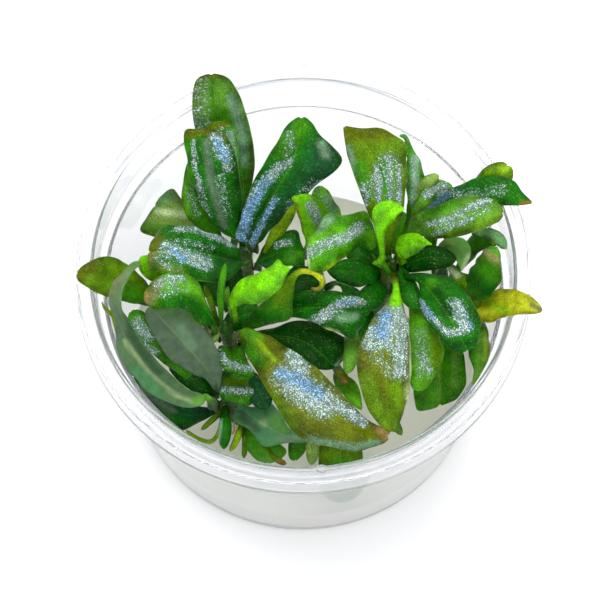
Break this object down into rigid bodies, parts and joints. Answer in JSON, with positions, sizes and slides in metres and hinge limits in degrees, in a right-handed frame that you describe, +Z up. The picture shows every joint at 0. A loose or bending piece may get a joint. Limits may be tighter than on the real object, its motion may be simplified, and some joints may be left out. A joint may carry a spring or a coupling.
{
  "type": "bucephalandra plant in a culture cup",
  "caption": "Aquarium plant with glossy wavy leaves on short rhizomes, growing on nutrient gel in an open clear round culture cup with a flanged rim.",
  "frame": {"origin": "centre of the cup's foot, on the surface that it stands on", "axes": "+Z up, +X to the right in the picture, +Y away from the viewer"},
  "size_m": [0.1018, 0.1006, 0.0736],
  "materials": {
    "clear_plastic": "clear, glossy, blue-white where it is thick",
    "gel": "cloudy, see-through, wet",
    "rhizome": "satin green to brown, ringed",
    "deep_green_leaf": "waxy gloss with silver-blue specks",
    "fresh_green_leaf": "waxy satin with a lighter midrib",
    "olive_leaf": "waxy gloss with bronze and silver areas",
    "yellow_green_leaf": "waxy satin",
    "leaf_underside": "matte grey-green with pale veins"
  },
  "bodies": {
    "root": {"cup": "clear_plastic", "leaf_back_broad": "deep_green_leaf", "leaf_back_cut": "leaf_underside", "leaf_back_narrow": "fresh_green_leaf", "leaf_back_second": "deep_green_leaf", "leaf_back_short": "deep_green_leaf", "leaf_back_silver": "deep_green_leaf", "leaf_back_tall": "fresh_green_leaf", "leaf_back_wide": "deep_green_leaf", "leaf_centre_behind": "fresh_green_leaf", "leaf_centre_folded": "fresh_green_leaf", "leaf_centre_low": "fresh_green_leaf", "leaf_far_back": "deep_green_leaf", "leaf_far_bluish": "leaf_underside", "leaf_far_bright": "yellow_green_leaf", "leaf_far_grey": "leaf_underside", "leaf_far_narrow": "deep_green_leaf", "leaf_far_over_rim": "yellow_green_leaf", "leaf_far_short": "deep_green_leaf", "leaf_front_bright": "fresh_green_leaf", "leaf_front_hanging": "olive_leaf", "leaf_front_small": "deep_green_leaf", "leaf_left_bronze": "olive_leaf", "leaf_left_front_lower": "deep_green_leaf", "leaf_left_front_upper": "fresh_green_leaf", "leaf_left_hooked": "olive_leaf", "leaf_left_long": "olive_leaf", "leaf_left_over_rim": "olive_leaf", "leaf_left_under": "deep_green_leaf", "leaf_left_wavy": "deep_green_leaf", "leaf_left_young": "fresh_green_leaf", "leaf_low_bluish": "leaf_underside", "leaf_low_boat": "leaf_underside", "leaf_low_bright": "fresh_green_leaf", "leaf_low_grey": "leaf_underside", "leaf_low_hanging": "fresh_green_leaf", "leaf_low_wall": "deep_green_leaf", "leaf_right_back": "deep_green_leaf", "leaf_right_broad": "olive_leaf", "leaf_right_edge_on": "deep_green_leaf", "leaf_right_glitter": "deep_green_leaf", "leaf_right_inner": "fresh_green_leaf", "leaf_right_long": "olive_leaf", "leaf_right_olive": "yellow_green_leaf", "leaf_right_over_rim": "deep_green_leaf", "leaf_right_under": "deep_green_leaf", "leaf_right_veined": "fresh_green_leaf", "leaf_right_young_lower": "fresh_green_leaf", "leaf_right_young_upper": "fresh_green_leaf", "nutrient_gel": "gel", "stem_back": "rhizome", "stem_centre": "rhizome", "stem_far": "rhizome", "stem_front": "rhizome", "stem_left": "rhizome", "stem_low": "rhizome", "stem_right": "rhizome"}
  },
  "joints": []
}
